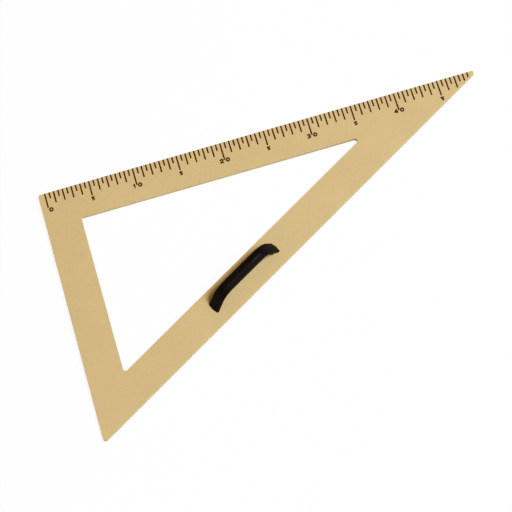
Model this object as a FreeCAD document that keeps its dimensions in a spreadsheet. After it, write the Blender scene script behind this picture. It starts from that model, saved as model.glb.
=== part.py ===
"""Fixed 30/60/90 board set square with a printed centimetre scale and a screwed bow handle.

All lengths are millimetres.  The board, its prints and its screw holes are drawn in the board's
own frame: origin at the sharp right-angle corner, +X along the ruler edge to the narrow tip, -Y
down the short leg, Z up from the back face.  Placements then move every piece so that the row
frame's origin lies under the middle of the board's outline.
"""
import FreeCAD, Part
import math
import os

import Sketcher

V = FreeCAD.Vector
UP = V(0, 0, 1)
TINY = 1e-4

# name, value, what it is
DRIVING_SIZES = [
    # board
    ("overall_length", 500.0, "board along the ruler edge, tip rounding included"),
    ("tip_angle", 30.0, "degrees between the ruler edge and the slanting edge"),
    ("plate_thickness", 5.0, "board"),
    ("ruler_bar_width", 39.4, "bar that carries the scale"),
    ("short_bar_width", 39.3, "bar along the short leg"),
    ("slant_bar_width", 38.5, "bar that carries the handle"),
    ("tip_round", 2.3, "outline radius at the narrow tip"),
    ("base_round", 3.0, "outline radius at the 60 degree corner"),
    ("square_round", 3.0, "outline radius at the right-angle corner"),
    ("opening_square_round", 1.5, "opening radius at the right angle"),
    ("opening_acute_round", 3.0, "opening radius at the two acute corners"),
    ("edge_break", 0.3, "rounding of the sawn edges"),
    # printed scale
    ("scale_start", 7.5, "from the short leg's edge to the zero mark"),
    ("scale_end_gap", 5.0, "least room from the last mark to the tip"),
    ("half_pitch", 5.0, "between neighbouring marks: half a centimetre"),
    ("print_lean", 0.12, "degrees by which the printed scale leans inwards from the ruler edge"),
    ("mark_width", 1.7, "every mark"),
    ("half_mark_length", 7.6, "marks at half centimetres"),
    ("centimetre_mark_length", 13.8, "marks at whole centimetres"),
    ("five_mark_length", 17.6, "marks at every 5 cm"),
    ("ten_mark_length", 20.4, "marks at every 10 cm"),
    ("print_margin", 1.3, "bare strip between print and the slanting edge"),
    ("print_thickness", 0.06, "ink film"),
    ("numeral_width", 4.9, "plain numbers, over the strokes"),
    ("numeral_height", 5.4, "plain numbers, over the strokes"),
    ("five_height", 4.9, "a five, over the strokes"),
    ("numeral_stroke", 1.6, "line width of most digits"),
    ("zero_stroke", 1.72, "line width of a zero"),
    ("light_stroke", 1.4, "line width of a one and of a five"),
    ("numeral_gap", 0.8, "between two digits of one number"),
    ("ten_level", 21.05, "from the ruler edge to the middle of a ten's digits, at the zero end"),
    ("five_level", 21.6, "from the ruler edge to the middle of a five, at the zero end"),
    ("zero_level", 20.55, "from the ruler edge to the middle of the zero"),
    ("beside_gap", 0.15, "between a ten mark and the digit on either side of it"),
    ("zero_offset", 2.8, "from the zero mark to the middle of the zero"),
    # handle
    ("handle_station", 230.95, "along the slanting edge from its sharp 60 degree corner"),
    ("handle_length", 98.0, "over both ends at the board"),
    ("handle_height", 25.9, "board to the top of the bow"),
    ("strap_width", 13.2, "bow, across"),
    ("strap_thickness", 3.2, "bow, at its middle"),
    ("strap_slope", 7.0, "degrees by which either half of the strap's outer face falls away"),
    ("strap_ridge_round", 1.5, "ridge between the halves of the strap's outer face"),
    ("strap_edge_round", 0.6, "outer corners of the strap's section"),
    ("leg_angle", 61.5, "degrees between a leg and the board"),
    ("bend_radius", 22.0, "outer radius between leg and bridge"),
    ("boss_radius", 3.75, "screw boss under each leg"),
    # screws
    ("screw_inset", 8.0, "from either end of the handle to the middle of its screw"),
    ("screw_length", 13.0, "countersunk screw over all"),
    ("screw_diameter", 3.5, "over the thread"),
    ("screw_core_diameter", 2.5, "at the thread's root"),
    ("screw_head_diameter", 6.8, "countersunk head"),
    ("screw_head_angle", 90.0, "degrees over the head's cone"),
    ("screw_point_length", 2.5, "tapered end"),
    ("thread_pitch", 1.3, "between thread crests"),
    ("screw_recess", 0.3, "head below the back face"),
    ("cross_arm_width", 1.0, "cross recess in the head, each arm"),
    ("cross_span", 3.6, "cross recess, over opposite arms"),
    ("cross_depth", 1.4, "cross recess"),
    # fits
    ("screw_hole_clearance", 0.5, "hole in the board over the thread, on the diameter"),
    ("seat_clearance", 0.05, "countersink outside the head's cone, on the radius"),
    ("boss_bore_clearance", 0.1, "bore in the boss over the thread, on the diameter"),
    ("bore_end_gap", 0.8, "bore in the boss past the screw's point"),
]


def fill_sheet(document):
    """Write the driving sizes into a spreadsheet, one aliased cell each."""
    sheet = document.addObject("Spreadsheet::Sheet", "sizes")
    for row, (alias, value, note) in enumerate(DRIVING_SIZES, start=1):
        sheet.set(f"A{row}", alias)
        sheet.set(f"B{row}", str(value))
        sheet.set(f"C{row}", note)
        sheet.setAlias(f"B{row}", alias)
    document.recompute()
    return sheet


DOC = FreeCAD.newDocument("set_square")
SHEET = fill_sheet(DOC)


# ------------------------------------------------------------------ shared expressions
# Sharp lengths of the outline, before its corners are rounded off.
LONG_LEG = "(sizes.overall_length + sizes.tip_round * (1 / tan(sizes.tip_angle / 2) - 1))"
SHORT_LEG = f"({LONG_LEG} * tan(sizes.tip_angle))"
DEPTH = f"({SHORT_LEG} - sizes.base_round * (1 / tan(45 - sizes.tip_angle / 2) - 1))"

# Where the board's frame lies in the row frame.
BOARD_X = "(-sizes.overall_length / 2)"
BOARD_Y = f"({DEPTH} / 2)"

# Middle of the handle on the board, in the board's frame: half-way across the slanting bar.
HANDLE_X = ("(sizes.handle_station * cos(sizes.tip_angle)"
            " - sizes.slant_bar_width / 2 * sin(sizes.tip_angle))")
HANDLE_Y = ("(sizes.handle_station * sin(sizes.tip_angle)"
            f" + sizes.slant_bar_width / 2 * cos(sizes.tip_angle) - {SHORT_LEG})")

# From the middle of the handle to either screw.
SCREW_REACH = "(sizes.handle_length / 2 - sizes.screw_inset)"

# Number of the last half-centimetre mark, counted from the zero mark.
LAST_MARK = ("floor((sizes.overall_length - sizes.scale_start - sizes.scale_end_gap)"
             " / sizes.half_pitch)")


def evaluate(expression):
    """Return the number that an expression gives with the sheet's sizes."""
    return float(SHEET.evalExpression(expression))


def size(alias):
    return evaluate(f"sizes.{alias}")


def quantity(expression, unit="mm"):
    return f"({expression}) * 1{unit}"


def around(centre, radius, degrees):
    """Point on a circle at an angle."""
    angle = math.radians(degrees)
    return (centre[0] + radius * math.cos(angle), centre[1] + radius * math.sin(angle))


# ------------------------------------------------------------------ drawing helpers
def add_body(name):
    body = DOC.addObject("PartDesign::Body", name)
    body.Label = name
    body.AllowCompound = True
    return body


def bind_place(piece, x, y, z, turn=None):
    """Bind a piece's Placement: its base point, and its turn about Z in degrees."""
    if turn is not None:
        piece.Placement = FreeCAD.Placement(V(), FreeCAD.Rotation(UP, evaluate(turn)))
        piece.setExpression("Placement.Rotation.Angle", quantity(turn, "deg"))
    piece.setExpression("Placement.Base.x", quantity(x))
    piece.setExpression("Placement.Base.y", quantity(y))
    piece.setExpression("Placement.Base.z", quantity(z))


def origin_item(body, role):
    return next(item for item in body.Origin.OriginFeatures if item.Role == role)


def add_sketch(body, name, role="XY_Plane"):
    """Start a sketch on one of the body's own origin planes."""
    sketch = body.newObject("Sketcher::SketchObject", name)
    sketch.AttachmentSupport = [(origin_item(body, role), "")]
    sketch.MapMode = "FlatFace"
    return sketch


def numbered(where):
    """Put the sketcher's own numbers in place of the names of points and axes."""
    numbers = {"start": 1, "end": 2, "centre": 3, "horizontal_axis": -1, "vertical_axis": -2}
    return [numbers.get(item, item) for item in where]


def bind(sketch, kind, *where, to):
    """Add a dimension at its present value and tie it to an expression."""
    value = evaluate(to)
    unit = "mm"
    if kind == "Angle":
        value = math.radians(value)
        unit = "deg"
    index = sketch.addConstraint(Sketcher.Constraint(kind, *numbered(where), value))
    sketch.setExpression(f"Constraints[{index}]", quantity(to, unit))


def relate(sketch, kind, *where):
    sketch.addConstraint(Sketcher.Constraint(kind, *numbered(where)))


def add_line(sketch, start, end):
    return sketch.addGeometry(Part.LineSegment(V(*start, 0), V(*end, 0)), False)


def add_arc(sketch, centre, radius, first, last):
    """Add an arc that runs anticlockwise between two angles in degrees."""
    circle = Part.Circle(V(*centre, 0), UP, radius)
    arc = Part.ArcOfCircle(circle, math.radians(first), math.radians(last))
    return sketch.addGeometry(arc, False)


# The horizontal axis starts at the sketch's origin.
ORIGIN = ("horizontal_axis", "start")


def pin_point(sketch, item, point, x, y):
    """Hold one point of a sketch at a place given by two expressions."""
    directions = (("DistanceX", x, "vertical_axis"), ("DistanceY", y, "horizontal_axis"))
    for kind, expression, axis in directions:
        if abs(evaluate(expression)) < TINY:
            relate(sketch, "PointOnObject", item, point, axis)
        else:
            bind(sketch, kind, *ORIGIN, item, point, to=expression)


def draw_polygon(sketch, points):
    """Draw a closed polygon whose corners are pairs of expressions."""
    corners = [(evaluate(x), evaluate(y)) for x, y in points]
    lines = [add_line(sketch, a, b) for a, b in zip(corners, corners[1:] + corners[:1])]
    for one, following in zip(lines, lines[1:] + lines[:1]):
        relate(sketch, "Coincident", one, "end", following, "start")
    for line, (x, y) in zip(lines, points):
        pin_point(sketch, line, "start", x, y)


def draw_circle(sketch, x, y, diameter):
    circle = Part.Circle(V(evaluate(x), evaluate(y), 0), UP, evaluate(diameter) / 2)
    index = sketch.addGeometry(circle, False)
    pin_point(sketch, index, "centre", x, y)
    bind(sketch, "Diameter", index, to=diameter)


# ------------------------------------------------------------------ features
def add_pad(body, sketch, name, length):
    pad = body.newObject("PartDesign::Pad", name)
    pad.Profile = sketch
    pad.setExpression("Length", quantity(length))
    DOC.recompute()
    return pad


def check_cut(body, before, name):
    DOC.recompute()
    if not body.Shape.Volume < before - TINY:
        raise RuntimeError(f"{name} cuts nothing")


def add_pocket(body, sketch, name, depth=None, upwards=False, both_ways=False):
    """Cut a sketch out of a body, through everything unless a depth is given."""
    before = body.Shape.Volume
    pocket = body.newObject("PartDesign::Pocket", name)
    pocket.Profile = sketch
    pocket.Reversed = upwards
    pocket.Midplane = both_ways
    if depth is None:
        pocket.Type = "ThroughAll"
    else:
        pocket.setExpression("Length", quantity(depth))
    check_cut(body, before, name)
    return pocket


def add_turned(body, sketch, name, kind="Revolution"):
    """Turn a sketch once round its own vertical axis, adding or (Groove) cutting."""
    turned = body.newObject(f"PartDesign::{kind}", name)
    turned.Profile = sketch
    turned.ReferenceAxis = (sketch, ["V_Axis"])
    turned.Angle = 360
    DOC.recompute()
    return turned


def repeat_along(body, feature, name, direction, pitch, count):
    """Repeat a feature at a fixed pitch along an axis or along an edge of a sketch."""
    pattern = body.newObject("PartDesign::LinearPattern", name)
    pattern.Originals = [feature]
    pattern.Direction = direction
    pattern.Mode = "Spacing"
    pattern.setExpression("Offset", quantity(pitch))
    pattern.setExpression("Occurrences", count)
    body.Tip = pattern
    DOC.recompute()


def add_fillet(body, base, name, edges, radius):
    fillet = body.newObject("PartDesign::Fillet", name)
    fillet.Base = (base, edges)
    fillet.setExpression("Radius", quantity(radius))
    DOC.recompute()
    return fillet


def upright_edges(shape, corners):
    """Names of the vertical edges that stand at the given corners."""
    names = []
    for number, edge in enumerate(shape.Edges, start=1):
        box = edge.BoundBox
        is_upright = box.XLength < TINY and box.YLength < TINY
        distances = [math.hypot(box.Center.x - x, box.Center.y - y) for x, y in corners]
        if is_upright and min(distances) < 0.01:
            names.append(f"Edge{number}")
    return names


def flat_edges(shape, levels):
    """Names of the edges that lie wholly at one of the given heights."""
    names = []
    for number, edge in enumerate(shape.Edges, start=1):
        box = edge.BoundBox
        if box.ZLength < TINY and any(abs(box.ZMin - level) < TINY for level in levels):
            names.append(f"Edge{number}")
    return names


# ------------------------------------------------------------------ board
def opening_corners():
    """Sharp corners of the triangular opening, as expressions."""
    left = "sizes.short_bar_width"
    top = "sizes.ruler_bar_width"
    # The opening's slanting side is the outer one, moved in by the slanting bar's width.
    rise = "(sizes.slant_bar_width / cos(sizes.tip_angle))"
    bottom = f"({SHORT_LEG} - {left} * tan(sizes.tip_angle) - {rise})"
    right = f"({LONG_LEG} - ({top} + {rise}) / tan(sizes.tip_angle))"
    return [(left, f"(-{top})"), (left, f"(-{bottom})"), (right, f"(-{top})")]


def screw_place(side):
    """Middle of a screw in the board's frame: side -1 is the lower one, +1 the upper."""
    reach = f"({side} * {SCREW_REACH})"
    return (f"({HANDLE_X} + {reach} * cos(sizes.tip_angle))",
            f"({HANDLE_Y} + {reach} * sin(sizes.tip_angle))")


def make_plate():
    body = add_body("plate")

    outline = add_sketch(body, "plate_outline")
    outer = [("0", "0"), ("0", f"(-{SHORT_LEG})"), (LONG_LEG, "0")]
    draw_polygon(outline, outer)
    add_pad(body, outline, "board", "sizes.plate_thickness")

    opening = add_sketch(body, "opening_outline")
    inner = opening_corners()
    draw_polygon(opening, inner)
    last = add_pocket(body, opening, "opening", upwards=True)

    roundings = [
        ("square_corner", outer[:1], "sizes.square_round"),
        ("base_corner", outer[1:2], "sizes.base_round"),
        ("tip_corner", outer[2:], "sizes.tip_round"),
        ("opening_square_corner", inner[:1], "sizes.opening_square_round"),
        ("opening_acute_corners", inner[1:], "sizes.opening_acute_round"),
    ]
    for name, corners, radius in roundings:
        places = [(evaluate(x), evaluate(y)) for x, y in corners]
        last = add_fillet(body, last, name, upright_edges(body.Shape, places), radius)

    rims = flat_edges(body.Shape, (0.0, size("plate_thickness")))
    add_fillet(body, last, "broken_edges", rims, "sizes.edge_break")

    before = body.Shape.Volume
    centres = add_sketch(body, "screw_centres")
    bore = "sizes.screw_diameter + sizes.screw_hole_clearance"
    for side in (-1, 1):
        draw_circle(centres, *screw_place(side), bore)
    hole = body.newObject("PartDesign::Hole", "screw_holes")
    hole.Profile = centres
    hole.Reversed = True
    hole.ThreadType = "None"
    hole.DepthType = "ThroughAll"
    hole.HoleCutType = "Countersink"
    hole.HoleCutCustomValues = True
    # The countersink is the head's cone, carried on to the back face.
    spread = "sizes.screw_recess * tan(sizes.screw_head_angle / 2) + sizes.seat_clearance"
    hole.setExpression("Diameter", quantity(bore))
    hole.setExpression("HoleCutDiameter", quantity(f"sizes.screw_head_diameter + 2 * ({spread})"))
    hole.setExpression("HoleCutCountersinkAngle", quantity("sizes.screw_head_angle", "deg"))
    check_cut(body, before, "the screw holes")

    bind_place(body, BOARD_X, BOARD_Y, "0")
    return body


# ------------------------------------------------------------------ printed scale
# How far the print has leant inwards at the far end of the ruler edge.
PRINT_DROP = f"({LONG_LEG} * tan(sizes.print_lean))"


def make_scale_marks():
    """Ink marks: each coarser class lengthens every so many marks of the finer one."""
    body = add_body("scale_marks")
    row = add_sketch(body, "print_row")
    line = add_line(row, (0, 0), (evaluate(LONG_LEG), -evaluate(PRINT_DROP)))
    relate(row, "Coincident", line, "start", *ORIGIN)
    pin_point(row, line, "end", LONG_LEG, f"(-{PRINT_DROP})")
    # class, length, half centimetres from one to the next, half centimetres to the first
    classes = [
        ("half", "sizes.half_mark_length", 1, 0),
        ("centimetre", "sizes.centimetre_mark_length", 2, 0),
        ("five", "sizes.five_mark_length", 10, 0),
        ("ten", "sizes.ten_mark_length", 20, 20),
    ]
    for name, length, step, first in classes:
        middle = f"(sizes.scale_start + {first} * sizes.half_pitch)"
        left = f"({middle} - sizes.mark_width / 2)"
        right = f"({middle} + sizes.mark_width / 2)"
        low = f"(-{length} - {middle} * tan(sizes.print_lean))"
        sketch = add_sketch(body, f"{name}_mark_outline")
        draw_polygon(sketch, [(left, PRINT_DROP), (left, low), (right, low), (right, PRINT_DROP)])
        pad = add_pad(body, sketch, f"{name}_mark", "sizes.print_thickness")
        count = f"floor(({LAST_MARK} - {first}) / {step}) + 1"
        pitch = f"{step} * sizes.half_pitch / cos(sizes.print_lean)"
        repeat_along(body, pad, f"{name}_marks", (row, ["Edge1"]), pitch, count)

    # Every mark starts past the ruler edge, and one cut ends them all where the edge is broken.
    trim = add_sketch(body, "edge_trim")
    inner, outer = "(-sizes.edge_break)", f"({PRINT_DROP} + sizes.edge_break)"
    draw_polygon(trim, [("0", inner), (LONG_LEG, inner), (LONG_LEG, outer), ("0", outer)])
    add_pocket(body, trim, "ruler_edge_trim", upwards=True)

    # Near the tip a mark ends at the bare strip along the slanting edge.
    clip = add_sketch(body, "slant_clip")
    end = f"({LONG_LEG} - sizes.print_margin / sin(sizes.tip_angle))"
    low = f"({end} * tan(sizes.tip_angle))"
    draw_polygon(clip, [("0", f"(-{low})"), (LONG_LEG, f"(-{low})"), (LONG_LEG, "0"), (end, "0")])
    add_pocket(body, clip, "slanting_margin", upwards=True)

    bind_place(body, BOARD_X, BOARD_Y, "sizes.plate_thickness")
    return body


def stroke_path(points):
    """Join a digit's middle line: a pair is a corner, a pair of pairs an arc through both."""
    edges = []
    start = V(*points[0], 0)
    for step in points[1:]:
        if isinstance(step[0], tuple):
            middle, end = (V(*place, 0) for place in step)
            edges.append(Part.Arc(start, middle, end).toShape())
        else:
            end = V(*step, 0)
            edges.append(Part.makeLine(start, end))
        start = end
    return Part.Wire(edges)


def digit_paths(digit, wide, high):
    """Middle lines of a digit whose strokes' middles span 2 wide by 2 high."""
    half, large, belly = 0.5 * high, 0.56 * high, 0.62 * high
    upper, lower = (0, high - half), (0, large - high)

    def bowl(centre, radius, first, halfway, last):
        start, middle, end = (around(centre, radius, turn) for turn in (first, halfway, last))
        return [start, (middle, end)]

    def ring(centre, radius):
        return bowl(centre, radius, 0, 90, 180) + bowl(centre, radius, 180, 270, 360)[1:]

    six = [[(0.5 * wide, high), ((-0.5 * wide, 0.35 * high), around(lower, large, 180))],
           ring(lower, large)]
    nine = [[(-0.5 * wide, -high), ((0.5 * wide, -0.35 * high), (large, high - large))],
            ring((0, high - large), large)]
    return {
        "0": [[(wide, wide - high), (wide, high - wide), ((0, high), (-wide, high - wide)),
               (-wide, wide - high), ((0, -high), (wide, wide - high))]],
        "1": [[(-0.2 * wide, 0.6 * high), (0.45 * wide, high), (0.45 * wide, -high)]],
        "2": [[(-wide, 0.5 * high), ((0, high), (wide, 0.45 * high)),
               (-wide, -high), (wide, -high)]],
        "3": [[(-0.85 * wide, high), (0.1 * wide, high),
               ((0.1 * wide + half, half), (0.1 * wide, 0)), (-0.25 * wide, 0)],
              [(0.1 * wide, 0), ((0.1 * wide + half, -half), (0.1 * wide, -high)),
               (-0.95 * wide, -high)]],
        "4": [[(0.45 * wide, -high), (0.45 * wide, high), (-wide, -0.4 * high)],
              [(0.45 * wide, high), (-wide, -0.4 * high), (wide, -0.4 * high)]],
        "5": [[(0.75 * wide, high), (-0.6 * wide, high)]
              + bowl((0, belly - high), belly, 145, 0, -125)],
        "6": six,
        "7": [[(-wide, high), (wide, high), (-0.2 * wide, -high)]],
        "8": [ring(upper, half), ring(lower, large)],
        "9": nine,
    }[digit]


def digit_height(digit):
    return size("five_height") if digit == "5" else size("numeral_height")


def make_digit(digit, centre):
    """One printed digit: its middle lines, thickened to the stroke and raised to a film."""
    names = {"0": "zero_stroke", "1": "light_stroke", "5": "light_stroke"}
    # A stroke thicker than this would close the gaps between its own turns.
    half_stroke = min(size(names.get(digit, "numeral_stroke")) / 2, 0.16 * digit_height(digit))
    wide = size("numeral_width") / 2 - half_stroke
    high = digit_height(digit) / 2 - half_stroke
    solid = None
    for points in digit_paths(digit, wide, high):
        path = stroke_path(points)
        outline = path.makeOffset2D(half_stroke, 0, False, False, False)
        stroke = Part.makeFace(outline.Wires, "Part::FaceMakerBullseye")
        if path.isClosed():
            stroke = stroke.cut(Part.Face(path.makeOffset2D(-half_stroke, 0, False, False, False)))
        film = stroke.extrude(UP * size("print_thickness"))
        solid = film if solid is None else solid.fuse(film)
    solid = solid.removeSplitter()
    solid.translate(V(*centre, 0))
    return solid.Solids


def make_scale_numerals():
    """Plain numbers: fives under their mark, tens on both sides of their longer mark."""
    half_width = size("numeral_width") / 2
    advance = size("numeral_width") + size("numeral_gap")
    beside = size("mark_width") / 2 + size("beside_gap") + half_width
    lean = math.tan(math.radians(size("print_lean")))
    steps_per_centimetre = 2
    digits = []
    for mark in range(0, int(evaluate(LAST_MARK)) + 1, 5 * steps_per_centimetre):
        x = size("scale_start") + mark * size("half_pitch")
        number = str(mark // steps_per_centimetre)
        if mark == 0:
            digits.append(("0", x + size("zero_offset"), size("zero_level")))
        elif number.endswith("5"):
            digits.append(("5", x, size("five_level")))
        else:
            digits.append((number[-1], x + beside, size("ten_level")))
            for place, digit in enumerate(reversed(number[:-1])):
                digits.append((digit, x - beside - place * advance, size("ten_level")))

    # A digit is printed only where the board still holds it, margin and all.
    tip = math.radians(size("tip_angle"))
    margin = size("print_margin") / math.cos(tip)
    solids = []
    for digit, x, level in digits:
        middle = level + x * lean
        reach = x + half_width + (middle + digit_height(digit) / 2 + margin) / math.tan(tip)
        if reach <= evaluate(LONG_LEG):
            solids += make_digit(digit, (x, -middle))

    numerals = DOC.addObject("Part::Feature", "scale_numerals")
    numerals.Label = "scale_numerals"
    numerals.Shape = Part.makeCompound(solids)
    bind_place(numerals, BOARD_X, BOARD_Y, "sizes.plate_thickness")
    return numerals


# ------------------------------------------------------------------ handle
# The handle's own frame: origin under its middle on the board's face, X along it, Z up.
# Its left half is modelled, then mirrored.
RUN_OUT = "(2 * sizes.strap_thickness)"


def draw_half_bow(sketch, inset):
    """Draw the left half of the bow's side line, a given depth inside its outer face.

    A leg line rises from below the board, a tangent arc bends it, and a level bridge line
    runs to the middle.  Returns the leg, the arc and the bridge.
    """
    foot_x = (f"(-sizes.handle_length / 2 + ({inset}) / sin(sizes.leg_angle)"
              f" - {RUN_OUT} / tan(sizes.leg_angle))")
    radius = f"(sizes.bend_radius - ({inset}))"
    bend_level = "(sizes.handle_height - sizes.bend_radius)"
    bend_x = ("(-sizes.handle_length / 2 + sizes.bend_radius / sin(sizes.leg_angle)"
              f" + {bend_level} / tan(sizes.leg_angle))")
    top = f"(sizes.handle_height - ({inset}))"

    lean = size("leg_angle") + 90
    centre = (evaluate(bend_x), evaluate(bend_level))
    leg_top = around(centre, evaluate(radius), lean)
    foot = (evaluate(foot_x), -evaluate(RUN_OUT))
    bridge_start = (centre[0], evaluate(top))

    leg = add_line(sketch, foot, leg_top)
    arc = add_arc(sketch, centre, evaluate(radius), 90, lean)
    bridge = add_line(sketch, bridge_start, (0, evaluate(top)))
    relate(sketch, "Tangent", leg, "end", arc, "end")
    relate(sketch, "Tangent", arc, "start", bridge, "start")
    relate(sketch, "Horizontal", bridge)
    relate(sketch, "PointOnObject", bridge, "end", "vertical_axis")
    pin_point(sketch, leg, "start", foot_x, f"(-{RUN_OUT})")
    pin_point(sketch, arc, "centre", bend_x, bend_level)
    bind(sketch, "Radius", arc, to=radius)
    return leg, arc, bridge


def draw_strap_section(sketch):
    """Draw the strap's section: flat inside, a low roof outside, its ridge and corners round."""
    half = size("strap_width") / 2
    top = size("handle_height")
    bottom = top - size("strap_thickness")
    ridge = size("strap_ridge_round")
    corner = size("strap_edge_round")
    slope = size("strap_slope")
    # The straight slope touches the ridge's arc above and the corner's arc below.
    upper = around((0, top - ridge), ridge, 90 - slope)
    corner_x = half - corner
    lower_x = corner_x + corner * math.sin(math.radians(slope))
    lower = (lower_x, upper[1] - (lower_x - upper[0]) * math.tan(math.radians(slope)))
    corner_level = lower[1] - corner * math.cos(math.radians(slope))

    floor = add_line(sketch, (-half, bottom), (half, bottom))
    right = add_line(sketch, (half, bottom), (half, corner_level))
    right_corner = add_arc(sketch, (corner_x, corner_level), corner, 0, 90 - slope)
    right_slope = add_line(sketch, lower, upper)
    crest = add_arc(sketch, (0, top - ridge), ridge, 90 - slope, 90 + slope)
    left_slope = add_line(sketch, (-upper[0], upper[1]), (-lower[0], lower[1]))
    left_corner = add_arc(sketch, (-corner_x, corner_level), corner, 90 + slope, 180)
    left = add_line(sketch, (-half, corner_level), (-half, bottom))

    around_it = (floor, right, right_corner, right_slope, crest, left_slope, left_corner, left)
    for one, following in zip(around_it[1:], around_it[2:]):
        relate(sketch, "Tangent", one, "end", following, "start")
    relate(sketch, "Coincident", floor, "end", right, "start")
    relate(sketch, "Coincident", left, "end", floor, "start")
    relate(sketch, "Symmetric", floor, "start", floor, "end", "vertical_axis")
    relate(sketch, "Vertical", right)
    relate(sketch, "Vertical", left)
    relate(sketch, "PointOnObject", crest, "centre", "vertical_axis")
    relate(sketch, "Symmetric", crest, "start", crest, "end", "vertical_axis")
    bind(sketch, "DistanceX", floor, "start", floor, "end", to="sizes.strap_width")
    underside = "sizes.handle_height - sizes.strap_thickness"
    bind(sketch, "DistanceY", *ORIGIN, floor, "start", to=underside)
    crest_level = "sizes.handle_height - sizes.strap_ridge_round"
    bind(sketch, "DistanceY", *ORIGIN, crest, "centre", to=crest_level)
    bind(sketch, "Radius", crest, to="sizes.strap_ridge_round")
    bind(sketch, "Angle", right_slope, to="(180 - sizes.strap_slope)")
    bind(sketch, "Radius", right_corner, to="sizes.strap_edge_round")
    bind(sketch, "Radius", left_corner, to="sizes.strap_edge_round")


def make_handle():
    body = add_body("handle")
    boss_x = f"(-{SCREW_REACH})"

    # The boss rises through the strap's thickness, and is cut off half-way through it.
    boss = add_sketch(body, "boss_outline")
    draw_circle(boss, boss_x, "0", "2 * sizes.boss_radius")
    add_pad(body, boss, "boss", "sizes.handle_height")
    clear = "(sizes.handle_length / 2 + sizes.handle_height)"
    above = add_sketch(body, "above_the_strap", "XZ_Plane")
    leg, arc, bridge = draw_half_bow(above, "sizes.strap_thickness / 2")
    high = "(2 * sizes.handle_height)"
    outside = [(f"(-{clear})", f"(-{RUN_OUT})"), (f"(-{clear})", high), ("0", high)]
    corners = [(evaluate(x), evaluate(y)) for x, y in outside]
    foot = above.Geometry[leg].StartPoint
    middle = above.Geometry[bridge].EndPoint
    under = add_line(above, (foot.x, foot.y), corners[0])
    side = add_line(above, corners[0], corners[1])
    roof = add_line(above, corners[1], corners[2])
    drop = add_line(above, corners[2], (middle.x, middle.y))
    relate(above, "Coincident", leg, "start", under, "start")
    for one, following in ((under, side), (side, roof), (roof, drop)):
        relate(above, "Coincident", one, "end", following, "start")
    relate(above, "Coincident", drop, "end", bridge, "end")
    for line, (x, y) in zip((side, roof, drop), outside):
        pin_point(above, line, "start", x, y)
    add_pocket(body, above, "boss_top", both_ways=True)

    path = add_sketch(body, "bow_path", "XZ_Plane")
    draw_half_bow(path, "0")
    section = add_sketch(body, "strap_section", "YZ_Plane")
    draw_strap_section(section)
    strap = body.newObject("PartDesign::AdditivePipe", "strap")
    strap.Profile = section
    strap.Spine = (path, ["Edge1", "Edge2", "Edge3"])
    DOC.recompute()

    # Everything below the board's face goes.
    below = add_sketch(body, "board_face")
    reach = "sizes.strap_width"
    draw_polygon(below, [(f"(-{clear})", f"(-{reach})"), ("0", f"(-{reach})"),
                         ("0", reach), (f"(-{clear})", reach)])
    add_pocket(body, below, "foot_end")

    bore = add_sketch(body, "bore_outline")
    draw_circle(bore, boss_x, "0", "sizes.screw_diameter + sizes.boss_bore_clearance")
    in_boss = "sizes.screw_recess + sizes.screw_length - sizes.plate_thickness"
    add_pocket(body, bore, "screw_bore", f"{in_boss} + sizes.bore_end_gap", upwards=True)

    mirrored = body.newObject("PartDesign::Mirrored", "other_half")
    mirrored.TransformMode = "Whole shape"
    mirrored.MirrorPlane = (origin_item(body, "YZ_Plane"), [""])
    body.Tip = mirrored
    DOC.recompute()

    bind_place(body, f"{BOARD_X} + {HANDLE_X}", f"{BOARD_Y} + {HANDLE_Y}",
               "sizes.plate_thickness", turn="sizes.tip_angle")
    return body


# ------------------------------------------------------------------ screws
def make_screw(name, side):
    """Countersunk cross-head screw.  Its own frame: origin in the head's face, +Z to the point."""
    body = add_body(name)
    head = "(sizes.screw_head_diameter / 2)"
    shank = "(sizes.screw_diameter / 2)"
    cone = f"(({head} - {shank}) / tan(sizes.screw_head_angle / 2))"
    point_start = "(sizes.screw_length - sizes.screw_point_length)"

    blank = add_sketch(body, f"{name}_blank", "XZ_Plane")
    draw_polygon(blank, [("0", "0"), (head, "0"), (shank, cone), (shank, point_start),
                         ("0", "sizes.screw_length")])
    add_turned(body, blank, f"{name}_turned_blank")

    # One notch between two crests, repeated along the shank.
    depth = "((sizes.screw_diameter - sizes.screw_core_diameter) / 2)"
    crest = "(0.1 * sizes.thread_pitch)"
    first = f"({cone} + {crest})"
    before = body.Shape.Volume
    notch = add_sketch(body, f"{name}_notch", "XZ_Plane")
    draw_polygon(notch, [(shank, first),
                         (f"({shank} - {depth})", f"({first} + sizes.thread_pitch / 2 - {crest})"),
                         (shank, f"({first} + sizes.thread_pitch - 2 * {crest})"),
                         (f"({shank} + {depth})", f"({first} + sizes.thread_pitch / 2 - {crest})")])
    groove = add_turned(body, notch, f"{name}_groove", "Groove")
    count = f"floor(({point_start} - {cone}) / sizes.thread_pitch)"
    upwards = (origin_item(body, "Z_Axis"), [""])
    repeat_along(body, groove, f"{name}_thread", upwards, "sizes.thread_pitch", count)
    check_cut(body, before, f"{name}'s thread")

    half_arm, half_span = "(sizes.cross_arm_width / 2)", "(sizes.cross_span / 2)"
    cross = add_sketch(body, f"{name}_cross")
    quarter = [(half_span, f"(-{half_arm})"), (half_span, half_arm), (half_arm, half_arm)]
    outline = []
    for _ in range(4):
        outline += quarter
        # A quarter turn sends (x, y) to (-y, x).
        quarter = [(f"(-{y})", x) for x, y in quarter]
    draw_polygon(cross, outline)
    add_pocket(body, cross, f"{name}_cross_recess", "sizes.cross_depth", upwards=True)

    x, y = screw_place(side)
    bind_place(body, f"{BOARD_X} + {x}", f"{BOARD_Y} + {y}", "sizes.screw_recess")
    return body


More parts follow.
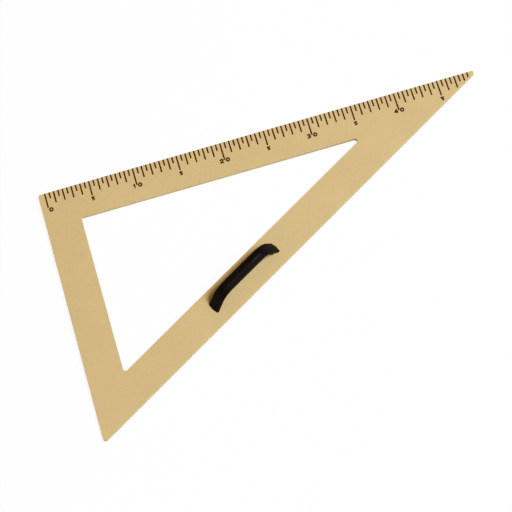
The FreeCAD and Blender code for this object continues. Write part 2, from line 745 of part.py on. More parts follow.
# ------------------------------------------------------------------ build, check and write
def check_document(pieces):
    """Stop if any object failed or any piece is not a valid shape."""
    DOC.recompute()
    for item in DOC.Objects:
        if "Invalid" in item.State or "Error" in item.State:
            raise RuntimeError(f"{item.Name}: {item.getStatusString()}")
    for piece in pieces:
        shape = piece.Shape
        if shape.isNull() or not shape.isValid() or not shape.Solids:
            raise RuntimeError(f"{piece.Label} is not a valid solid")


def write_steps(pieces):
    os.makedirs("parts", exist_ok=True)
    for piece in pieces:
        shape = piece.Shape
        shape.exportStep(f"parts/{piece.Label}.step")
        box = shape.BoundBox
        print(f"{piece.Label}: {len(shape.Solids)} solids, {shape.Volume:.1f} mm3, "
              f"x {box.XMin:.2f}..{box.XMax:.2f}, y {box.YMin:.2f}..{box.YMax:.2f}, "
              f"z {box.ZMin:.2f}..{box.ZMax:.2f}")


PIECES = [
    make_plate(),
    make_scale_marks(),
    make_scale_numerals(),
    make_handle(),
    make_screw("screw_lower", -1),
    make_screw("screw_upper", 1),
]
check_document(PIECES)
write_steps(PIECES)
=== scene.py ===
# %% [markdown]
# # Dressing a blackboard set square
#
# The object is a flat 30/60/90 set square half a metre long: one board with a triangular
# opening, a centimetre scale printed along its long leg, a black bow handle, and two screws
# that hold the handle from behind.  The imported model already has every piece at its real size,
# so this script gives each one its finish, rebuilds the handle as a smooth moulding, and sets
# up the floor, the light and the camera.

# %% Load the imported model
import math

import bpy
import numpy as np
from mathutils import Matrix, Vector


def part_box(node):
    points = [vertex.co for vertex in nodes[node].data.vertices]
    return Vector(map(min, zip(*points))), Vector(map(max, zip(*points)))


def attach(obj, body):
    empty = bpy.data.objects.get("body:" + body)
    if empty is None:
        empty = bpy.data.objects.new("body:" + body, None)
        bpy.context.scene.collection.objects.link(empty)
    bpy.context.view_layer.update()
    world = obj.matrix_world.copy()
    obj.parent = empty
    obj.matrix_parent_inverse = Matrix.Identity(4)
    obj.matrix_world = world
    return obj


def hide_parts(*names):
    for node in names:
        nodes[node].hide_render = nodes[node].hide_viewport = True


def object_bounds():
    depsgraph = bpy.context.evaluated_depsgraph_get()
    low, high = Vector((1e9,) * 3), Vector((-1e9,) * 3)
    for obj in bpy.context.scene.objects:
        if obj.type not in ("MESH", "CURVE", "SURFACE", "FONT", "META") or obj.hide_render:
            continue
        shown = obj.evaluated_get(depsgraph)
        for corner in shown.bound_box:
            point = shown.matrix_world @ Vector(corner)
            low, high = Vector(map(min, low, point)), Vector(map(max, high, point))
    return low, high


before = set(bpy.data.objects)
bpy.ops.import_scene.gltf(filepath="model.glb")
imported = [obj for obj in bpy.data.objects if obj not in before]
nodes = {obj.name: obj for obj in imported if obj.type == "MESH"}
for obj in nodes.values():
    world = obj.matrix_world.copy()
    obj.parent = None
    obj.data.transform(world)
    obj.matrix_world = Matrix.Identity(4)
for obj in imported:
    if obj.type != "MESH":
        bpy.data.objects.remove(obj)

MM = 0.001
cad_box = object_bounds()
print("pieces of the packed model:", ", ".join(sorted(nodes)))
print("its size in mm:", [round(side / MM, 1) for side in cad_box[1] - cad_box[0]])

# %% [markdown]
# ## Measures that the pieces share
#
# The frame knows where each piece lies.  The board's top face and the handle's place are read
# from it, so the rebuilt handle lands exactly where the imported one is.  Only what a box can't
# tell, such as a radius or an angle, is written down here.

# %% Read the shared measures
board_low, board_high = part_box("plate")
handle_low, handle_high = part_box("handle")
board_top = board_high.z
handle_middle = (handle_low + handle_high) / 2
handle_height = handle_high.z - board_top
slant = math.radians(30)      # the handle follows the slanting edge
print(f"the board is {(board_top - board_low.z) / MM:.1f} mm thick")
print(f"the handle rises {handle_height / MM:.1f} mm above it")

# %% [markdown]
# ## Helpers for finishes
#
# A finish is a tree of nodes.  Writing one by hand repeats the same three steps: add a node,
# set its options, and give each input either a number or a wire from another node.  One helper
# does all three, a second starts a finish, and a third wires an output to the finish's shader.

# %% Helpers for node trees
def add_node(tree, kind, options=None, inputs=None):
    """Add a node, set its options, and feed each input a plain value or another node's output."""
    node = tree.nodes.new(kind)
    for name, value in (options or {}).items():
        setattr(node, name, value)
    for name, value in (inputs or {}).items():
        if isinstance(value, bpy.types.NodeSocket):
            tree.links.new(value, node.inputs[name])
        else:
            node.inputs[name].default_value = value
    return node


def start_finish(name):
    """Make an empty finish and return it with its tree, its shader and its place in metres."""
    finish = bpy.data.materials.new(name)
    finish.use_nodes = True
    tree = finish.node_tree
    shader = tree.nodes["Principled BSDF"]
    place = add_node(tree, "ShaderNodeTexCoord").outputs["Object"]
    return finish, tree, shader, place


def wire(tree, output, shader, name):
    """Join an output to one of the shader's inputs."""
    tree.links.new(output, shader.inputs[name])


print("helpers ready")

# %% [markdown]
# ## Patterns
#
# Nearly every pattern here is noise, read at a real size: a grain of 2 mm is noise at 500 cells
# to the metre.  Fibres are the same noise squeezed in one direction and turned.  A range node
# then picks out the peaks, so that most of the surface stays plain.

# %% Helpers for patterns
def mottle(tree, place, grain, detail=2.0):
    """Cloudy noise whose blotches are about `grain` metres across, from 0 to 1."""
    noise = add_node(tree, "ShaderNodeTexNoise", inputs={
        "Vector": place, "Scale": 1 / grain, "Detail": detail, "Roughness": 0.55})
    return noise.outputs["Fac"]


def streaks(tree, place, length, width, turn):
    """Noise drawn out into strands: `length` by `width` metres, turned in the board's plane."""
    turned = add_node(tree, "ShaderNodeMapping", options={"vector_type": "TEXTURE"}, inputs={
        "Vector": place, "Rotation": (0, 0, math.radians(turn)), "Scale": (length, width, width)})
    noise = add_node(tree, "ShaderNodeTexNoise", inputs={
        "Vector": turned.outputs["Vector"], "Scale": 1.0, "Detail": 1.0, "Roughness": 0.5})
    return noise.outputs["Fac"]


def remap(tree, value, start, end, low=0.0, high=1.0):
    """Carry start..end smoothly over to low..high, and hold it there outside."""
    node = add_node(tree, "ShaderNodeMapRange", options={"interpolation_type": "SMOOTHSTEP"},
                    inputs={"Value": value, "From Min": start, "From Max": end,
                            "To Min": low, "To Max": high})
    return node.outputs["Result"]


def combine(tree, how, first, second=0.0):
    """Arithmetic on two outputs or numbers."""
    return add_node(tree, "ShaderNodeMath", options={"operation": how},
                    inputs={0: first, 1: second}).outputs[0]


def mix_colours(tree, share, first, second):
    """Mix two colours by a share that runs from 0 to 1.

    The mix node has a row of inputs for each type of value, so its colours go by their numbers.
    """
    return add_node(tree, "ShaderNodeMix", options={"data_type": "RGBA"},
                    inputs={0: share, 6: first, 7: second}).outputs[2]


def relief(tree, height, depth, shader):
    """Let a height from 0 to 1 stand `depth` metres proud in the shader's normal."""
    bump = add_node(tree, "ShaderNodeBump", inputs={
        "Height": height, "Distance": depth, "Strength": 1.0})
    wire(tree, bump.outputs["Normal"], shader, "Normal")


def shade(tone, factor):
    """A colour made lighter or darker."""
    return (*(min(1.0, part * factor) for part in tone[:3]), 1.0)


print("pattern helpers ready")

# %% [markdown]
# ## Marks on the rim
#
# The printed marks run out over the broken edge along the ruler, but the model's film of ink
# stops where that edge begins.  The last third of a millimetre is drawn in the board's own
# finish.  The marks repeat every half centimetre, so one stripe serves them all: what counts is
# how far a place lies past the start of its mark.

# %% Find the marks' outer ends
INK = (0.062, 0.0155, 0.0002, 1.0)
MARK_PITCH = 5.0 * MM
MARK_WIDTH = 1.7 * MM
RIM = 0.30 * MM               # height of the broken edge
OVERLAP = 0.02 * MM           # by which the drawn ink starts under the film
marks_low, marks_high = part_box("scale_marks")
print(f"the film ends {(board_high.y - marks_high.y) / MM:.2f} mm inside the ruler edge")


def marks_on_rim(tree, place):
    """1 where a mark runs out over the rim, and 0 elsewhere.

    That is a stripe every pitch, kept between the first mark and the last, past the film's end
    and within the rim's height.
    """
    along, across, up = add_node(tree, "ShaderNodeSeparateXYZ", inputs={0: place}).outputs
    past_zero = combine(tree, "SUBTRACT", along, marks_low.x)
    stripe = combine(tree, "LESS_THAN", combine(tree, "MODULO", past_zero, MARK_PITCH), MARK_WIDTH)
    limits = [
        combine(tree, "GREATER_THAN", past_zero, 0.0),
        combine(tree, "LESS_THAN", along, marks_high.x),
        combine(tree, "GREATER_THAN", across, marks_high.y - OVERLAP),
        combine(tree, "GREATER_THAN", up, board_top - RIM),
    ]
    for limit in limits:
        stripe = combine(tree, "MULTIPLY", stripe, limit)
    return stripe


# %% [markdown]
# ## The board
#
# The board is dense fibreboard: fine wood fibre pressed flat and sealed with a thin lacquer.
# From a metre away it is one even tan.  Close up it has short pale and dark fibres lying every
# way in its plane, a few specks of bark, and soft clouds of colour a hand wide.  The sawn edges
# are cut fibre: duller and faintly marked by the cutter.  Over their lower part they carry
# painted shade, darker towards the bottom as the table's contact shadow.  The rim, where an edge
# is broken, is rubbed a little darker.
# Faces, rim and edge are told apart by height alone, which works on the imported mesh as it stands
# and needs no seams.

# %% The board's finish
TAN = (0.672, 0.490, 0.226, 1.0)
CUT_TAN = (0.620, 0.455, 0.235, 1.0)
RIM_TAN = (0.615, 0.455, 0.215, 1.0)
BARK = (0.230, 0.130, 0.050, 1.0)
FOOT_SHADE_HEIGHT = 3.5 * MM        # height over which painted shade darkens the edge's foot


def board_finish():
    finish, tree, shader, place = start_finish("lacquered_fibreboard")

    # Clouds: a broad one and a finer one, a few hundredths either way.
    broad = mottle(tree, place, grain=60 * MM)
    fine = mottle(tree, place, grain=6 * MM, detail=3.0)
    face = mix_colours(tree, remap(tree, broad, 0.35, 0.65), shade(TAN, 0.975), shade(TAN, 1.02))
    face = mix_colours(tree, remap(tree, fine, 0.3, 0.7, 0.0, 0.4), face, shade(TAN, 0.95))

    # Fibres: three sheets of strands, each turned its own way.
    pale, dark = 0.0, 0.0
    for turn in (12, 71, 133):
        strand = streaks(tree, place, length=2.6 * MM, width=0.35 * MM, turn=turn)
        pale = combine(tree, "MAXIMUM", remap(tree, strand, 0.62, 0.72), pale)
        dark = combine(tree, "MAXIMUM", remap(tree, strand, 0.38, 0.28), dark)
    face = mix_colours(tree, combine(tree, "MULTIPLY", pale, 0.35), face, shade(TAN, 1.15))
    face = mix_colours(tree, combine(tree, "MULTIPLY", dark, 0.35), face, shade(TAN, 0.76))

    # Specks of bark: the rare peaks of a fine noise.
    speck = remap(tree, mottle(tree, place, grain=1.1 * MM, detail=0.0), 0.80, 0.84)
    face = mix_colours(tree, combine(tree, "MULTIPLY", speck, 0.35), face, BARK)

    # Cut edge: everything that isn't within a hair of either face.  It starts with the rubbed
    # rim, carries the cutter's upright ridges, and has painted shade over its lower part, standing
    # in for the contact shadow of the table.
    height = add_node(tree, "ShaderNodeSeparateXYZ", inputs={0: place}).outputs["Z"]
    half = (board_top - board_low.z) / 2
    off_middle = combine(tree, "ABSOLUTE", combine(tree, "SUBTRACT", height, board_low.z + half))
    cut = remap(tree, off_middle, half - 0.01 * MM, half - 0.05 * MM)
    rim = remap(tree, off_middle, half - 1.2 * RIM, half - 0.8 * RIM)
    # Painted shade: the edge darkens towards the bottom, a contact shadow drawn into its colour.
    foot = remap(tree, height, board_low.z + FOOT_SHADE_HEIGHT, board_low.z, 0.0, 0.25)
    cutter = add_node(tree, "ShaderNodeMapping", options={"vector_type": "TEXTURE"}, inputs={
        "Vector": place, "Scale": (0.5 * MM, 0.5 * MM, 20 * MM)})
    ridges = add_node(tree, "ShaderNodeTexNoise", inputs={
        "Vector": cutter.outputs["Vector"], "Scale": 1.0, "Detail": 2.0}).outputs["Fac"]
    wall = mix_colours(tree, remap(tree, ridges, 0.3, 0.7), shade(CUT_TAN, 0.97), shade(CUT_TAN, 1.03))
    wall = mix_colours(tree, rim, wall, RIM_TAN)
    # Painted shade at the foot of the edge.
    wall = mix_colours(tree, foot, wall, shade(CUT_TAN, 0.55))
    bare = mix_colours(tree, cut, face, wall)
    thin_ink = shade(INK, 1.3)
    wire(tree, mix_colours(tree, marks_on_rim(tree, place), bare, thin_ink), shader, "Base Color")

    # The lacquer is even and half gloss; the cut edge drinks it and stays dull.
    gloss = remap(tree, fine, 0.3, 0.7, 0.42, 0.50)
    wire(tree, combine(tree, "MAXIMUM", gloss, combine(tree, "MULTIPLY", cut, 0.78)),
         shader, "Roughness")

    # Relief: a soft ripple under the lacquer, the strands on it, and the ridges on the cut edge.
    ripple = mottle(tree, place, grain=2.2 * MM, detail=1.0)
    raised = combine(tree, "ADD", combine(tree, "MULTIPLY", ripple, 0.6),
                     combine(tree, "MULTIPLY", combine(tree, "SUBTRACT", pale, dark), 0.2))
    grooves = combine(tree, "MULTIPLY", combine(tree, "MULTIPLY", cut, ridges), 0.4)
    surface = combine(tree, "ADD", raised, grooves)
    relief(tree, surface, 0.03 * MM, shader)
    return finish


def dress(name, finish):
    """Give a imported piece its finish."""
    nodes[name].material_slots[0].material = finish
    print(f"{name} wears {finish.name}")


dress("plate", board_finish())

# %% [markdown]
# ## The printed scale
#
# Marks and numbers are one pass of dark brown ink through a screen.  The film is real in the
# model, six hundredths of a millimetre high, so the finish only has to say how ink looks: a
# little thin in places, with the mesh of the screen just readable, and duller than lacquer.

# %% The ink's finish
def ink_finish():
    finish, tree, shader, place = start_finish("brown_screen_ink")
    thin = remap(tree, mottle(tree, place, grain=1.4 * MM, detail=3.0), 0.45, 0.75, 0.0, 0.30)
    worn = remap(tree, mottle(tree, place, grain=0.3 * MM, detail=1.0), 0.70, 0.78, 0.0, 0.5)
    colour = mix_colours(tree, thin, INK, shade(INK, 2.0))
    colour = mix_colours(tree, worn, colour, shade(TAN, 0.6))
    wire(tree, colour, shader, "Base Color")
    wire(tree, remap(tree, thin, 0.0, 0.30, 0.55, 0.65), shader, "Roughness")
    shader.inputs["Specular IOR Level"].default_value = 0.04
    weave = add_node(tree, "ShaderNodeTexVoronoi", inputs={
        "Vector": place, "Scale": 1 / (0.25 * MM), "Randomness": 0.15}).outputs["Distance"]
    relief(tree, weave, 0.006 * MM, shader)
    return finish


ink = ink_finish()
dress("scale_marks", ink)
dress("scale_numerals", ink)

# %% [markdown]
# ## The screws
#
# Two countersunk wood screws, bright zinc.  Plating is never one grey: it is a pale metal with
# a faint yellow and blue cast that drifts over a millimetre or two, and fine scratches.

# %% The zinc finish
ZINC = (0.62, 0.63, 0.63, 1.0)
YELLOW_ZINC = (0.66, 0.62, 0.50, 1.0)
BLUE_ZINC = (0.52, 0.57, 0.63, 1.0)


def zinc_finish():
    finish, tree, shader, place = start_finish("bright_zinc")
    shader.inputs["Metallic"].default_value = 1.0
    drift = mottle(tree, place, grain=1.8 * MM)
    colour = mix_colours(tree, remap(tree, drift, 0.52, 0.68), ZINC, YELLOW_ZINC)
    colour = mix_colours(tree, remap(tree, drift, 0.48, 0.32), colour, BLUE_ZINC)
    wire(tree, colour, shader, "Base Color")
    scratch = streaks(tree, place, length=3 * MM, width=0.08 * MM, turn=25)
    wire(tree, remap(tree, scratch, 0.3, 0.7, 0.26, 0.42), shader, "Roughness")
    relief(tree, scratch, 0.004 * MM, shader)
    return finish


zinc = zinc_finish()
dress("screw_lower", zinc)
dress("screw_upper", zinc)

# %% [markdown]
# ## The handle's section
#
# The handle is one moulding: a strap bent into a bow, with a boss under each leg for the screw.
# A bar with a section is best made by carrying the section along the bow.  The section is a
# closed outline with four rounded corners, whose outer side is a low roof with a soft ridge.
# Each point of it is written as (across, depth): how far it lies to the side, and how far under
# the ridge.

# %% The strap's section
STRAP_WIDTH = 13.2 * MM
STRAP_THICKNESS = 3.2 * MM
SLOPE = 7.0                   # degrees by which either half of the outer face falls away
RIDGE_ROUND = 1.5 * MM
OUTER_ROUND = 0.6 * MM
INNER_ROUND = 0.4 * MM


def arc(centre, radius, first, last, steps):
    """Points of an arc: centre plus radius times the cosine and sine of an angle in degrees."""
    angle = np.radians(np.linspace(first, last, steps))
    return np.stack([centre[0] + radius * np.cos(angle), centre[1] + radius * np.sin(angle)], 1)


def strap_section():
    """Closed outline of (across, depth), ending with the ridge, from its right end to its left.

    The ridge is an arc about (0, ridge radius).  Its straight slopes fall away by the tangent of
    the slope, and each ends where it touches the small arc that joins it to the upright side.
    A smaller arc yet joins the side to the flat underside.
    """
    half = STRAP_WIDTH / 2
    fall = math.tan(math.radians(SLOPE))
    ridge = arc((0, RIDGE_ROUND), RIDGE_ROUND, -90 - SLOPE, -90 + SLOPE, 7)
    corner_across = half - OUTER_ROUND
    touch_across = corner_across + OUTER_ROUND * math.sin(math.radians(SLOPE))
    touch_depth = ridge[-1, 1] + (touch_across - ridge[-1, 0]) * fall
    corner_depth = touch_depth + OUTER_ROUND * math.cos(math.radians(SLOPE))
    shares = np.array([0.03, 0.35, 0.65, 0.97])[:, None]      # crowded at both ends of a slope
    right_slope = ridge[-1] + shares * (np.array([touch_across, touch_depth]) - ridge[-1])
    left_slope = right_slope[::-1] * [-1, 1]
    inner_across = half - INNER_ROUND
    inner_depth = STRAP_THICKNESS - INNER_ROUND
    pieces = [
        ridge,
        right_slope,
        arc((corner_across, corner_depth), OUTER_ROUND, -90 + SLOPE, 0, 8),
        arc((inner_across, inner_depth), INNER_ROUND, 0, 90, 5),
        arc((-inner_across, inner_depth), INNER_ROUND, 90, 180, 5),
        arc((-corner_across, corner_depth), OUTER_ROUND, 180, 270 - SLOPE, 8),
        left_slope,
    ]
    return np.concatenate(pieces)[::-1]      # this way round the faces point outwards


section = strap_section()
print(f"the section has {len(section)} points, {np.ptp(section[:, 0]) / MM:.1f} mm across")

# %% [markdown]
# ## The bow
#
# Seen from the side the bow is a straight leg, a bend, a straight bridge, and the same again
# mirrored.  A point at some depth under the top line runs along its own leg, bends round the
# same centre with a radius smaller by its depth, and crosses the bridge lower by its depth.
# That gives a whole sheet of points at once: stations along the bow by points of the section.

# %% Carry the section along the bow
HANDLE_LENGTH = 98.0 * MM
LEG_ANGLE = math.radians(61.5)
BEND_RADIUS = 22.0 * MM
LEG_STEPS, BEND_STEPS, BRIDGE_STEPS = 9, 25, 13


def half_bow(depth):
    """Left half of the bow for each depth: arrays along and up, stations by depths.

    Leg: a straight line from the board to the bend.  Bend: centre plus (radius - depth) times
    (cosine, sine).  Bridge: level at height - depth, to the middle.
    """
    radius = BEND_RADIUS - depth[None, :]
    bend_up = handle_height - BEND_RADIUS
    bend_along = (-HANDLE_LENGTH / 2 + BEND_RADIUS / math.sin(LEG_ANGLE)
                  + bend_up / math.tan(LEG_ANGLE))
    angle = np.linspace(LEG_ANGLE + math.pi / 2, math.pi / 2, BEND_STEPS)[:, None]
    bend = (bend_along + radius * np.cos(angle), bend_up + radius * np.sin(angle))

    foot_along = -HANDLE_LENGTH / 2 + depth[None, :] / math.sin(LEG_ANGLE)
    share = np.linspace(0, 1, LEG_STEPS, endpoint=False)[:, None]
    leg = (foot_along + share * (bend[0][:1] - foot_along), share * bend[1][:1])

    share = np.linspace(0, 1, BRIDGE_STEPS)[1:, None]
    bridge = (bend[0][-1:] * (1 - share), np.repeat(bend[1][-1:], BRIDGE_STEPS - 1, axis=0))
    return tuple(np.concatenate(parts) for parts in zip(leg, bend, bridge))


def whole_bow(outline):
    """Points of the whole strap: the left half, then the same half mirrored and reversed."""
    along, up = half_bow(outline[:, 1])
    along = np.concatenate([along, -along[-2::-1]])
    up = np.concatenate([up, up[-2::-1]])
    across = np.broadcast_to(outline[:, 0], along.shape)
    return np.stack([along, across, up], axis=-1)


bow = whole_bow(section)
print(f"the bow is a sheet of {bow.shape[0]} stations by {bow.shape[1]} points")

# %% [markdown]
# ## From a sheet of points to a mesh
#
# A sheet that closes on itself one way is a tube.  Its faces follow from counting: point (i, j)
# joins (i, j + 1), (i + 1, j + 1) and (i + 1, j), and the last j joins the first.  Two more
# faces close the ends.  Nothing here looks at a single point, so it works for any tube.

# %% Build closed tubes
def tube_mesh(name, sheet):
    """Mesh of a closed tube from points (stations, round, 3), with a flat face on both ends."""
    stations, around, _ = sheet.shape
    index = np.arange(stations * around).reshape(stations, around)
    following = np.roll(index, -1, axis=1)
    quads = np.stack([index[:-1], following[:-1], following[1:], index[1:]], axis=-1)
    ends = [index[0, ::-1].tolist(), index[-1].tolist()]
    mesh = bpy.data.meshes.new(name)
    mesh.from_pydata(sheet.reshape(-1, 3).tolist(), [], quads.reshape(-1, 4).tolist() + ends)
    mesh.validate()
    return mesh


def add_object(name, mesh):
    thing = bpy.data.objects.new(name, mesh)
    bpy.context.scene.collection.objects.link(thing)
    return thing


def enclosed_volume(mesh):
    """Sum over triangles of corner . (corner x corner) / 6: positive when faces point outwards."""
    mesh.calc_loop_triangles()
    corners = np.empty(len(mesh.vertices) * 3)
    mesh.vertices.foreach_get("co", corners)
    picks = np.empty(len(mesh.loop_triangles) * 3, int)
    mesh.loop_triangles.foreach_get("vertices", picks)
    a, b, c = (corners.reshape(-1, 3)[picks.reshape(-1, 3)[:, k]] for k in range(3))
    return float(np.einsum("ij,ij->", a, np.cross(b, c)) / 6)


strap = add_object("strap_blank", tube_mesh("strap_blank", bow))
print(f"the strap holds {enclosed_volume(strap.data) / MM ** 3:.0f} cubic mm")

# %% [markdown]
# ## Bosses and bores
#
# Under each leg stands a round boss that takes the screw.  It rises into the strap's own
# thickness, and as the leg leans, its top has to lean too.  So each point of its rim is lifted
# to the strap's middle layer above it.  The boss is then joined to the strap and the bore cut
# out of both with boolean modifiers, which leave one closed skin.

# %% Join the bosses and cut the bores
BOSS_RADIUS = 3.75 * MM
BORE_RADIUS = 1.8 * MM
BORE_START = -1.0 * MM        # below the foot, so that the bore opens cleanly
BORE_DEPTH = 9.1 * MM
SCREW_INSET = 8.0 * MM
ROUND_STEPS = 48


def round_bar(name, centre, radius, bottom, top):
    """Upright bar: a circle of points at the bottom, and the same circle at a given top."""
    angle = np.linspace(0, 2 * math.pi, ROUND_STEPS, endpoint=False)
    along = centre + radius * np.cos(angle)
    across = radius * np.sin(angle)
    levels = np.stack([np.full_like(along, bottom), top(along)])
    sheet = np.stack(np.broadcast_arrays(along, across, levels), axis=-1)
    return add_object(name, tube_mesh(name, sheet))


def middle_layer(along):
    """Height of the strap's middle layer over a place along the bow."""
    line_along, line_up = half_bow(np.array([STRAP_THICKNESS / 2]))
    return np.interp(-np.abs(along), line_along[:, 0], line_up[:, 0])


def bore_end(along):
    """The bore ends level."""
    return np.full_like(along, BORE_DEPTH)


def apply_boolean(piece, tool, operation):
    """Join or cut with another closed mesh, keep the result, and drop the tool."""
    modifier = piece.modifiers.new(operation.lower(), "BOOLEAN")
    modifier.operation = operation
    modifier.solver = "EXACT"
    modifier.object = tool
    bpy.context.view_layer.update()
    finished = piece.evaluated_get(bpy.context.evaluated_depsgraph_get())
    mesh = bpy.data.meshes.new_from_object(finished)
    piece.modifiers.clear()
    piece.data = mesh
    bpy.data.objects.remove(tool)


for side in (-1, 1):
    centre = side * (HANDLE_LENGTH / 2 - SCREW_INSET)
    boss = round_bar("boss", centre, BOSS_RADIUS, 0.0, middle_layer)
    apply_boolean(strap, boss, "UNION")
for side in (-1, 1):
    centre = side * (HANDLE_LENGTH / 2 - SCREW_INSET)
    bore = round_bar("bore", centre, BORE_RADIUS, BORE_START, bore_end)
    apply_boolean(strap, bore, "DIFFERENCE")
print(f"with bosses and bores it holds {enclosed_volume(strap.data) / MM ** 3:.0f} cubic mm")

# %% [markdown]
# ## Set the handle on the board
#
# The mesh was made about its own middle, with its feet at height zero.  Its place goes into the
# mesh itself: turned to follow the slanting edge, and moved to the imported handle's middle.

# %% Place the handle
def smooth_by_angle(mesh, degrees):
    """Shade smooth, but keep edges sharper than an angle crisp."""
    mesh.polygons.foreach_set("use_smooth", np.ones(len(mesh.polygons), bool))
    mesh.set_sharp_from_angle(angle=math.radians(degrees))


place = Matrix.Translation((handle_middle.x, handle_middle.y, board_top))
strap.data.transform(place @ Matrix.Rotation(slant, 4, "Z"))
smooth_by_angle(strap.data, 35)
strap.name = "bow_handle"
strap.data.name = "bow_handle"
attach(strap, "root")
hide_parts("handle")
low, high = np.array(strap.bound_box).min(0), np.array(strap.bound_box).max(0)
print("off the packed handle's box by, in mm:",
      np.round((low - handle_low) / MM, 3), np.round((high - handle_high) / MM, 3))

# %% [markdown]
# ## Black plastic
#
# Moulded plastic takes the skin of its mould: a fine, even sparkle of pits a third of a
# millimetre wide, and broader patches where the melt cooled a little glossier.  The colour
# hardly varies; what the eye reads as plastic is the change in gloss.
#
# Use leaves a trace: the hand keeps the bridge half gloss, while the legs and bosses below
# it stay as dull as they left the mould.  Beside the ridge a painted highlight is drawn as a grey
# line, most of all over a thumb's width before the upper bend, where the ridge catches the light.
# That line is drawn from two distances in the handle's own axes, along the bow and across it, and
# is kept off the underside by height.

# %% The handle's finish
BLACK = (0.0055, 0.0027, 0.0028, 1.0)
# Painted highlight: a grey line where the ridge catches the light.
PAINTED_RIDGE_HIGHLIGHT = (0.040, 0.036, 0.034, 1.0)
HIGHLIGHT_ALONG = 18.3 * MM         # middle of the painted highlight, from the handle's middle
HIGHLIGHT_ACROSS = -1.0 * MM        # and from the ridge
HIGHLIGHT_REACH = 8.0 * MM          # half the length over which it stands out
HIGHLIGHT_BREADTH = 0.6 * MM        # half its width
HIGHLIGHT_DEPTH = 1.8 * MM          # depth under the top at which it stops, short of the underside
DULL_FROM = 0.6 * MM          # depth under the top at which the gloss starts to fade
DULL_BELOW = 5.0 * MM         # and at which it is gone


def painted_highlight_line(tree, place):
    """Share of painted highlight on the ridge: the product of one mask along the bow, one across, one
    by height.
    """
    own = add_node(tree, "ShaderNodeMapping", options={"vector_type": "TEXTURE"}, inputs={
        "Vector": place, "Location": handle_middle, "Rotation": (0, 0, slant)}).outputs["Vector"]
    along, across, up = add_node(tree, "ShaderNodeSeparateXYZ", inputs={0: own}).outputs
    off_along = combine(tree, "ABSOLUTE", combine(tree, "SUBTRACT", along, HIGHLIGHT_ALONG))
    off_across = combine(tree, "ABSOLUTE", combine(tree, "SUBTRACT", across, HIGHLIGHT_ACROSS))
    highlight_span = remap(tree, off_along, HIGHLIGHT_REACH, 3.5 * MM, 0.12, 1.0)
    line = remap(tree, off_across, HIGHLIGHT_BREADTH, 0.05 * MM)
    top = (handle_high.z - handle_low.z) / 2
    outside = remap(tree, up, top - HIGHLIGHT_DEPTH - 0.6 * MM, top - HIGHLIGHT_DEPTH)
    return combine(tree, "MULTIPLY", combine(tree, "MULTIPLY", highlight_span, line), outside)


def plastic_finish():
    finish, tree, shader, place = start_finish("black_moulded_plastic")
    cloud = mottle(tree, place, grain=9 * MM)
    pits = mottle(tree, place, grain=0.35 * MM, detail=1.0)
    colour = mix_colours(tree, remap(tree, cloud, 0.35, 0.65), BLACK, shade(BLACK, 1.4))
    # Painted highlight beside the ridge, mixed into the colour.
    colour = mix_colours(tree, painted_highlight_line(tree, place), colour, PAINTED_RIDGE_HIGHLIGHT)
    wire(tree, colour, shader, "Base Color")
    held = remap(tree, cloud, 0.3, 0.7, 0.40, 0.48)
    height = add_node(tree, "ShaderNodeSeparateXYZ", inputs={0: place}).outputs["Z"]
    dull = remap(tree, height, handle_high.z - DULL_FROM, handle_high.z - DULL_BELOW, 0.0, 0.64)
    wire(tree, combine(tree, "MAXIMUM", held, dull), shader, "Roughness")
    shader.inputs["Specular IOR Level"].default_value = 0.06
    relief(tree, pits, 0.010 * MM, shader)
    return finish


strap.data.materials.clear()
strap.data.materials.append(plastic_finish())
print("bow_handle wears", strap.data.materials[0].name)

# %% [markdown]
# ## Floor and surroundings
#
# The square lies on a white table.  The floor is matt white, and for the camera and in
# reflections most of that white is a glow of its own, so that it reads as paper white while a
# trace of the board's soft shadow stays on it.  The room is white at the horizon and a warm dusk
# above, as in a studio with white walls and a wooden ceiling.  It fills the shadows with brown
# and lets black look black.

# %% Floor and world
FLOOR_SIZE = 16.0
FLOOR_GAP = 0.02 * MM         # under the board, so that the two faces never coincide
FLOOR_GLOW = 0.90
FLOOR_WHITE = (0.93, 0.93, 0.93, 1.0)


def add_floor():
    half = FLOOR_SIZE / 2
    corners = [(-half, -half, 0), (half, -half, 0), (half, half, 0), (-half, half, 0)]
    mesh = bpy.data.meshes.new("floor")
    mesh.from_pydata(corners, [], [(0, 1, 2, 3)])
    mesh.transform(Matrix.Translation((0, 0, cad_box[0].z - FLOOR_GAP)))
    floor = add_object("floor", mesh)
    finish = bpy.data.materials.new("white_table")
    finish.use_nodes = True
    tree = finish.node_tree
    tree.nodes.clear()
    matt = add_node(tree, "ShaderNodeBsdfDiffuse", inputs={"Color": FLOOR_WHITE})
    glow = add_node(tree, "ShaderNodeEmission", inputs={"Color": (1, 1, 1, 1), "Strength": 1.0})
    path = add_node(tree, "ShaderNodeLightPath").outputs
    mirrored = combine(tree, "MAXIMUM", path["Is Glossy Ray"], path["Is Transmission Ray"])
    seen = combine(tree, "MAXIMUM", path["Is Camera Ray"], mirrored)
    share = combine(tree, "MULTIPLY", seen, FLOOR_GLOW)
    both = add_node(tree, "ShaderNodeMixShader", inputs={
        0: share, 1: matt.outputs[0], 2: glow.outputs[0]})
    add_node(tree, "ShaderNodeOutputMaterial", inputs={"Surface": both.outputs[0]})
    mesh.materials.append(finish)
    print(f"floor {FLOOR_SIZE:.0f} m square")


WALL = (1.0, 1.0, 1.0, 1.0)
WALL_UP_TO, CEILING_FROM = 5, 12      # degrees above the horizon
CEILING = (0.250, 0.150, 0.060, 1.0)
FRONT = (0.5, -0.866, 0.0)            # the side on which the ceiling is brighter
FRONT_GAIN = 0.8


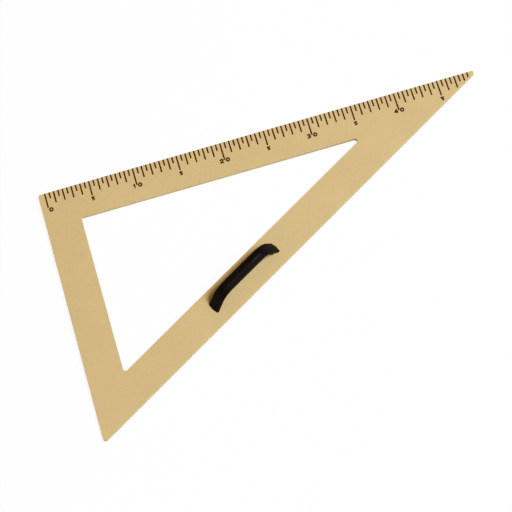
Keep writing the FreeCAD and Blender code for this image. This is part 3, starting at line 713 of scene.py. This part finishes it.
def light_room():
    """White walls low down, the ceiling above them, and a smooth change between the two.

    The ceiling's colour is scaled by 1 + gain * (direction . front), which adds nothing to the
    light on a level face but lets light in under the handle from one side.
    """
    world = bpy.data.worlds.new("studio")
    bpy.context.scene.world = world
    world.use_nodes = True
    tree = world.node_tree
    direction = add_node(tree, "ShaderNodeTexCoord").outputs["Generated"]
    height = add_node(tree, "ShaderNodeSeparateXYZ", inputs={0: direction}).outputs["Z"]
    facing = add_node(tree, "ShaderNodeVectorMath", options={"operation": "DOT_PRODUCT"},
                      inputs={0: direction, 1: FRONT}).outputs["Value"]
    gain = combine(tree, "ADD", combine(tree, "MULTIPLY", facing, FRONT_GAIN), 1.0)
    ceiling = add_node(tree, "ShaderNodeVectorMath", options={"operation": "SCALE"},
                       inputs={0: CEILING[:3], "Scale": gain}).outputs["Vector"]
    up = remap(tree, height, math.sin(math.radians(WALL_UP_TO)), math.sin(math.radians(CEILING_FROM)))
    colour = mix_colours(tree, up, WALL, ceiling)
    background = tree.nodes["Background"]
    tree.links.new(colour, background.inputs["Color"])
    background.inputs["Strength"].default_value = 1.0


add_floor()
light_room()

# %% [markdown]
# ## Lamps
#
# Two soft lamps stand on the right, as with a window and a ceiling lamp: a wide cool one lower
# down, and a smaller warm one higher up.  Both shadows of the handle fall the same way.  Close
# to its foot both lamps are covered and only the brown room is left, so the shadow is darkest
# and warmest there; farther out the small warm lamp comes back first.  A white square lit by
# the two lamps and the room together stays white.
#
# The power of a lamp is worked out from its share of full light on the board: a board lit at a
# full share shows its colours as they are written.  For a lamp of power P at distance r the
# light that falls on a surface facing it is P / (pi r squared), and full light is pi, so
# P = share * pi squared * r squared / sine of its height above the horizon.

# %% Add the lamps
def add_lamp(name, compass, height, distance, width, colour, share):
    """A square soft lamp that looks at the origin.  Compass turns from +X towards +Y."""
    around, up = math.radians(compass), math.radians(height)
    toward = Vector((math.cos(around) * math.cos(up), math.sin(around) * math.cos(up), math.sin(up)))
    light = bpy.data.lights.new(name, "AREA")
    light.shape = "SQUARE"
    light.size = width
    light.color = colour
    light.energy = share * math.pi ** 2 * distance ** 2 / math.sin(up)
    lamp = add_object(name, light)
    lamp.location = toward * distance
    lamp.rotation_euler = toward.to_track_quat("Z", "Y").to_euler()
    lamp.visible_camera = False
    print(f"{name}: {light.energy:.0f} W at {distance:.1f} m")


add_lamp("cool_key", compass=-30, height=56, distance=6.0, width=2.5,
         colour=(0.368, 0.615, 1.0), share=0.701)
add_lamp("warm_key", compass=-22, height=65, distance=6.0, width=1.3,
         colour=(1.0, 0.882, 0.543), share=0.516)

# %% [markdown]
# ## Camera
#
# The camera looks down steeply from in front of the board, a little from the left and slightly
# rolled, through a long lens.  It is placed by what it aims at, and by three turns: a roll
# about its own axis, a tilt up from straight down, and a swing round the vertical.

# %% Place the camera
AIM = Vector((-40.9, 5.4, 5.0)) * MM
CAMERA_DISTANCE = 2.0262
SWING, HEIGHT, ROLL = -7.266, 68.991, -9.422
LENS = 132.485


def place_camera():
    data = bpy.data.cameras.new("camera")
    data.lens = LENS
    data.clip_start = 0.1
    data.clip_end = 50
    camera = add_object("camera", data)
    turn = (Matrix.Rotation(math.radians(SWING), 4, "Z")
            @ Matrix.Rotation(math.radians(90 - HEIGHT), 4, "X")
            @ Matrix.Rotation(math.radians(ROLL), 4, "Z"))
    camera.matrix_world = Matrix.Translation(AIM) @ turn @ Matrix.Translation((0, 0, CAMERA_DISTANCE))
    bpy.context.scene.camera = camera
    print("camera at, in mm:", [round(part / MM, 1) for part in camera.matrix_world.translation])


place_camera()
bpy.context.scene.view_settings.view_transform = "Standard"
